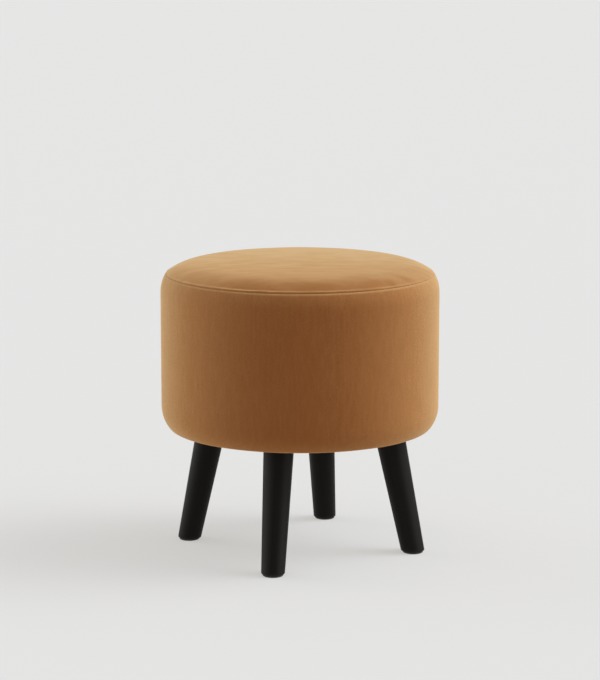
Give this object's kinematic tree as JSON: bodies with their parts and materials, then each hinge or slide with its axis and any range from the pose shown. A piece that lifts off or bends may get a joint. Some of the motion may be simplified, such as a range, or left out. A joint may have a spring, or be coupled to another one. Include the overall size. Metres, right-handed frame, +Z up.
{
  "type": "ottoman",
  "caption": "Round velvet-covered drum ottoman with a crowned padded seat, a sewn top seam and splayed, tapered black wooden legs that screw out of its base.",
  "frame": {"origin": "on the floor, under the middle of the round seat and midway between the feet", "axes": "+Z up along the axis of the drum, -Y to the front between two legs; the legs stand on the diagonals"},
  "size_m": [0.4, 0.4, 0.422],
  "materials": {
    "velvet": "caramel brown velvet",
    "black_wood": "satin black lacquer",
    "felt": "black felt",
    "plywood": "raw plywood",
    "pine": "sawn pine",
    "foam": "open-cell foam",
    "dust_cloth": "black non-woven cloth",
    "zinc_steel": "zinc plated"
  },
  "bodies": {
    "seat": {"base_board": "plywood", "top_board": "plywood", "drum_wall": "plywood", "upright_1": "pine", "upright_2": "pine", "upright_3": "pine", "upright_4": "pine", "upright_5": "pine", "upright_6": "pine", "top_board_screws": "zinc_steel", "base_board_screws": "zinc_steel", "wall_staples": "zinc_steel", "seat_pad": "foam", "side_foam": "foam", "top_panel": "velvet", "side_band": "velvet", "hem_staples": "zinc_steel", "dust_cover": "dust_cloth", "dust_cover_staples": "zinc_steel", "t_nut_front_left": "zinc_steel", "t_nut_front_right": "zinc_steel", "t_nut_back_right": "zinc_steel", "t_nut_back_left": "zinc_steel"},
    "bolt_front_left": {"hanger_bolt_front_left": "zinc_steel"},
    "leg_front_left": {"leg_front_left": "black_wood", "foot_pad_front_left": "felt"},
    "bolt_front_right": {"hanger_bolt_front_right": "zinc_steel"},
    "leg_front_right": {"leg_front_right": "black_wood", "foot_pad_front_right": "felt"},
    "bolt_back_right": {"hanger_bolt_back_right": "zinc_steel"},
    "leg_back_right": {"leg_back_right": "black_wood", "foot_pad_back_right": "felt"},
    "bolt_back_left": {"hanger_bolt_back_left": "zinc_steel"},
    "leg_back_left": {"leg_back_left": "black_wood", "foot_pad_back_left": "felt"}
  },
  "joints": [
    {"name": "bolt_front_left_travel", "type": "slide", "parent": "seat", "child": "bolt_front_left", "axis": [0, 0, -1], "range_m": [0, 0.0175]},
    {"name": "leg_front_left_screw", "type": "hinge", "parent": "bolt_front_left", "child": "leg_front_left", "pos_m": [-0.0923, -0.0923, 0.1802], "axis": [0, 0, -1], "range_deg": [0, 5040]},
    {"name": "bolt_front_right_travel", "type": "slide", "parent": "seat", "child": "bolt_front_right", "axis": [0, 0, -1], "range_m": [0, 0.0175]},
    {"name": "leg_front_right_screw", "type": "hinge", "parent": "bolt_front_right", "child": "leg_front_right", "pos_m": [0.0923, -0.0923, 0.1802], "axis": [0, 0, -1], "range_deg": [0, 5040]},
    {"name": "bolt_back_right_travel", "type": "slide", "parent": "seat", "child": "bolt_back_right", "axis": [0, 0, -1], "range_m": [0, 0.0175]},
    {"name": "leg_back_right_screw", "type": "hinge", "parent": "bolt_back_right", "child": "leg_back_right", "pos_m": [0.0923, 0.0923, 0.1802], "axis": [0, 0, -1], "range_deg": [0, 5040]},
    {"name": "bolt_back_left_travel", "type": "slide", "parent": "seat", "child": "bolt_back_left", "axis": [0, 0, -1], "range_m": [0, 0.0175]},
    {"name": "leg_back_left_screw", "type": "hinge", "parent": "bolt_back_left", "child": "leg_back_left", "pos_m": [-0.0923, 0.0923, 0.1802], "axis": [0, 0, -1], "range_deg": [0, 5040]}
  ],
  "couplings": [
    {"joint": "bolt_front_left_travel", "follows": "leg_front_left_screw", "m_per_rad": 0.00019894},
    {"joint": "bolt_front_right_travel", "follows": "leg_front_right_screw", "m_per_rad": 0.00019894},
    {"joint": "bolt_back_right_travel", "follows": "leg_back_right_screw", "m_per_rad": 0.00019894},
    {"joint": "bolt_back_left_travel", "follows": "leg_back_left_screw", "m_per_rad": 0.00019894}
  ]
}
